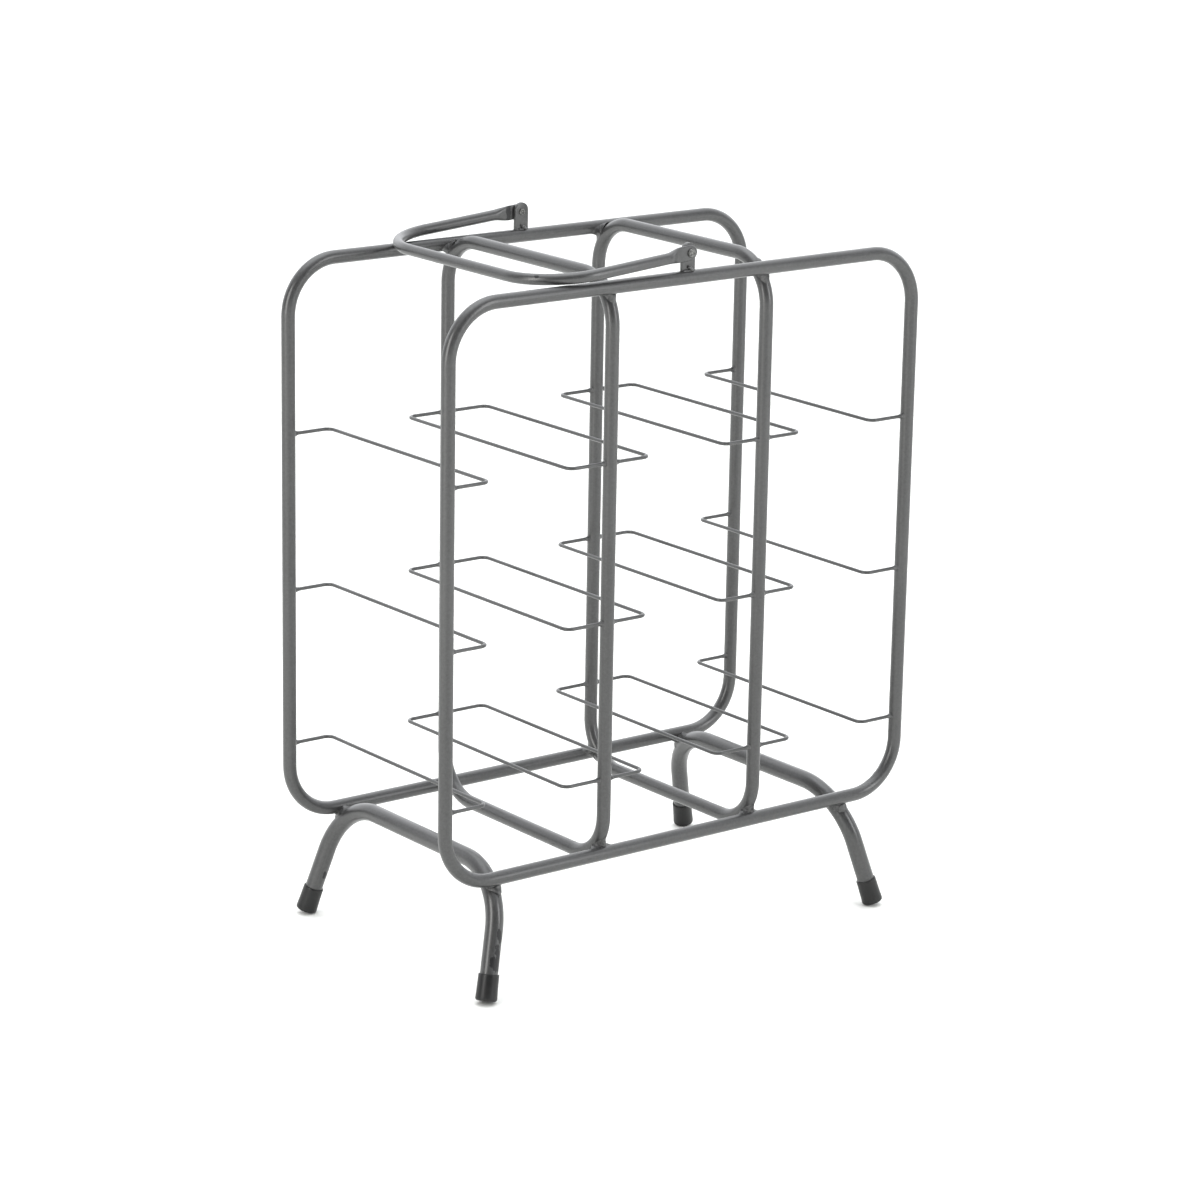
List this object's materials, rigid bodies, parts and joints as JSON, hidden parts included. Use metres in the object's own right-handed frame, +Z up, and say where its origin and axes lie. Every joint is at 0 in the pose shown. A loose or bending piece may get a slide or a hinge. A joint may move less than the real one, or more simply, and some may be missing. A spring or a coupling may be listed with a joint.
{
  "type": "bottle rack",
  "caption": "Welded steel-tube rack that holds bottles lying down in rows on wire cradles, on splayed rubber-capped legs, with a folding carry handle.",
  "frame": {"origin": "centre of the bounding box on the floor plane that the four feet stand on", "axes": "+Z up; X across the three bottle columns, with the folded handle lying towards -X; Y along the bottles, with the front frame at -Y"},
  "size_m": [0.4342, 0.2488, 0.5312],
  "materials": {
    "painted_steel": "satin metallic grey powder coat",
    "rubber": "matt moulded",
    "rivet_steel": "satin, dulled by paint overspray"
  },
  "bodies": {
    "rack": {"front_frame": "painted_steel", "rear_frame": "painted_steel", "left_cross_frame": "painted_steel", "right_cross_frame": "painted_steel", "wire_left_column_left_row1": "painted_steel", "wire_left_column_left_row2": "painted_steel", "wire_left_column_left_row3": "painted_steel", "wire_left_column_right_row1": "painted_steel", "wire_left_column_right_row2": "painted_steel", "wire_left_column_right_row3": "painted_steel", "wire_middle_column_left_row1": "painted_steel", "wire_middle_column_left_row2": "painted_steel", "wire_middle_column_left_row3": "painted_steel", "wire_middle_column_right_row1": "painted_steel", "wire_middle_column_right_row2": "painted_steel", "wire_middle_column_right_row3": "painted_steel", "wire_right_column_left_row1": "painted_steel", "wire_right_column_left_row2": "painted_steel", "wire_right_column_left_row3": "painted_steel", "wire_right_column_right_row1": "painted_steel", "wire_right_column_right_row2": "painted_steel", "wire_right_column_right_row3": "painted_steel", "left_leg": "painted_steel", "right_leg": "painted_steel", "handle_tab_front": "painted_steel", "handle_tab_rear": "painted_steel", "foot_cap_left_front": "rubber", "foot_cap_left_rear": "rubber", "foot_cap_right_front": "rubber", "foot_cap_right_rear": "rubber", "rivet_front": "rivet_steel", "rivet_rear": "rivet_steel"},
    "handle": {"handle": "painted_steel"}
  },
  "joints": [
    {"name": "handle_fold", "type": "hinge", "parent": "rack", "child": "handle", "pos_m": [-0.004, 0, 0.5242], "axis": [0, 1, 0], "range_deg": [0, 189]}
  ]
}
